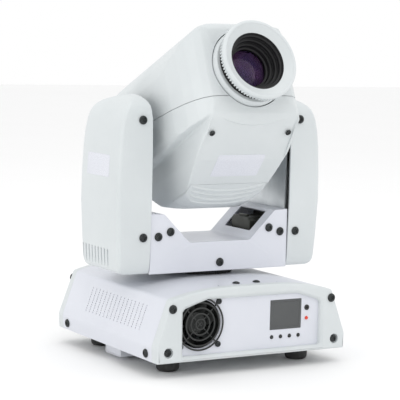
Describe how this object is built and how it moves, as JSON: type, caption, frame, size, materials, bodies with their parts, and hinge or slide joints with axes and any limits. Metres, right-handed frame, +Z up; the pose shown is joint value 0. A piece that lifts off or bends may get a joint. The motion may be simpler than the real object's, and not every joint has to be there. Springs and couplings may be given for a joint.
{
  "type": "moving head light",
  "caption": "Moving head spot light: low tapered base with fan, display and menu buttons, pan yoke with two tall arms, and a tilting white head with a focusing lens.",
  "frame": {"origin": "where the pan axis meets the floor under the base", "axes": "+Z up along the pan axis, -Y towards the display side of the base and the lens at rest, +X along the tilt axis to the right seen from the front"},
  "size_m": [0.2834, 0.2743, 0.4087],
  "materials": {
    "body_plastic": "fine textured white",
    "painted_steel": "satin white powder coat",
    "bare_steel": "zinc plated",
    "aluminium": "machined",
    "black_plastic": "matt",
    "black_metal": "black oxide",
    "black_anodised": "matt black anodised",
    "display": "clear grey window",
    "red_led": "diffused red",
    "rubber": "matt",
    "circuit": "solder resist",
    "brass": "machined",
    "label": "plain sticker",
    "glass": "coated glass"
  },
  "bodies": {
    "base": {"base_plate": "bare_steel", "base_cover": "painted_steel", "front_bezel": "body_plastic", "rear_bezel": "body_plastic", "front_panel": "painted_steel", "rear_panel": "painted_steel", "display_window": "display", "microphone": "black_plastic", "status_led": "red_led", "fan_guard": "black_metal", "fan_frame": "black_plastic", "power_inlet": "black_plastic", "fuse_cap": "black_plastic", "data_in_socket": "black_plastic", "data_out_socket": "black_plastic", "feet": "rubber", "clamp_bracket": "bare_steel", "base_screws": "black_metal", "panel_screws": "black_metal", "power_supply": "bare_steel", "control_board": "circuit", "pan_shaft": "black_anodised", "pan_pulley": "aluminium"},
    "menu_button_1": {"menu_button_1": "black_plastic"},
    "menu_button_2": {"menu_button_2": "black_plastic"},
    "menu_button_3": {"menu_button_3": "black_plastic"},
    "menu_button_4": {"menu_button_4": "black_plastic"},
    "fan_rotor": {"fan_rotor": "black_plastic"},
    "yoke": {"yoke_floor": "bare_steel", "crossbar_shell": "painted_steel", "left_arm_plate": "bare_steel", "right_arm_plate": "bare_steel", "left_arm_cover": "body_plastic", "right_arm_cover": "body_plastic", "arm_labels": "label", "pan_bearing": "bare_steel", "pan_motor": "black_metal", "pan_belt": "rubber", "tilt_motor": "black_metal", "tilt_belt": "rubber", "tilt_bearings": "bare_steel", "yoke_screws": "black_metal"},
    "pan_pinion": {"pan_pinion": "brass"},
    "tilt_pinion": {"tilt_pinion": "brass"},
    "head": {"head_chassis": "bare_steel", "tilt_trunnions": "aluminium", "tilt_pulley": "aluminium", "upper_shell": "body_plastic", "lower_shell": "body_plastic", "vent_panel": "body_plastic", "head_label": "label", "head_screws": "black_metal", "lens_collar": "body_plastic", "lamp_module": "aluminium"},
    "focus_cell": {"focus_cell": "black_anodised"},
    "focus_ring": {"focus_ring": "body_plastic", "front_lens": "glass", "lens_barrel": "black_anodised"},
    "colour_wheel": {"colour_wheel": "aluminium"},
    "gobo_wheel": {"gobo_wheel": "bare_steel"}
  },
  "joints": [
    {"name": "menu_button_1_press", "type": "slide", "parent": "base", "child": "menu_button_1", "axis": [0, 1, 0], "range_m": [0, 0.0006], "stiffness_N_per_m": 1200},
    {"name": "menu_button_2_press", "type": "slide", "parent": "base", "child": "menu_button_2", "axis": [0, 1, 0], "range_m": [0, 0.0006], "stiffness_N_per_m": 1200},
    {"name": "menu_button_3_press", "type": "slide", "parent": "base", "child": "menu_button_3", "axis": [0, 1, 0], "range_m": [0, 0.0006], "stiffness_N_per_m": 1200},
    {"name": "menu_button_4_press", "type": "slide", "parent": "base", "child": "menu_button_4", "axis": [0, 1, 0], "range_m": [0, 0.0006], "stiffness_N_per_m": 1200},
    {"name": "fan_spin", "type": "hinge", "parent": "base", "child": "fan_rotor", "pos_m": [-0.0707, -0.107, 0.0598], "axis": [0, 1, 0], "continuous": true},
    {"name": "pan", "type": "hinge", "parent": "base", "child": "yoke", "pos_m": [0, 0, 0.107], "axis": [0, 0, 1], "range_deg": [-270, 270]},
    {"name": "tilt", "type": "hinge", "parent": "yoke", "child": "head", "pos_m": [0, 0, 0.278], "axis": [1, 0, 0], "range_deg": [-181, 49]},
    {"name": "pan_pinion_spin", "type": "hinge", "parent": "yoke", "child": "pan_pinion", "pos_m": [-0.064, 0, 0.117], "axis": [0, 0, 1], "range_deg": [-1200, 1200]},
    {"name": "tilt_pinion_spin", "type": "hinge", "parent": "yoke", "child": "tilt_pinion", "pos_m": [0.105, 0, 0.146], "axis": [1, 0, 0], "range_deg": [-900, 900]},
    {"name": "focus_travel", "type": "slide", "parent": "head", "child": "focus_cell", "axis": [0, -0.9135, 0.4067], "range_m": [-0.003, 0.003]},
    {"name": "focus_turn", "type": "hinge", "parent": "focus_cell", "child": "focus_ring", "pos_m": [0, -0.09803, 0.35284], "axis": [0, -0.9135, 0.4067], "range_deg": [-540, 540]},
    {"name": "colour_wheel_turn", "type": "hinge", "parent": "head", "child": "colour_wheel", "pos_m": [0, 0.00432, 0.26951], "axis": [0, -0.9135, 0.4067], "continuous": true},
    {"name": "gobo_wheel_turn", "type": "hinge", "parent": "head", "child": "gobo_wheel", "pos_m": [0, -0.01066, 0.27618], "axis": [0, -0.9135, 0.4067], "continuous": true}
  ],
  "couplings": [
    {"joint": "pan_pinion_spin", "follows": "pan", "ratio": -4.2857},
    {"joint": "tilt_pinion_spin", "follows": "tilt", "ratio": 4.5714},
    {"joint": "focus_travel", "follows": "focus_turn", "m_per_rad": 0.000318}
  ]
}
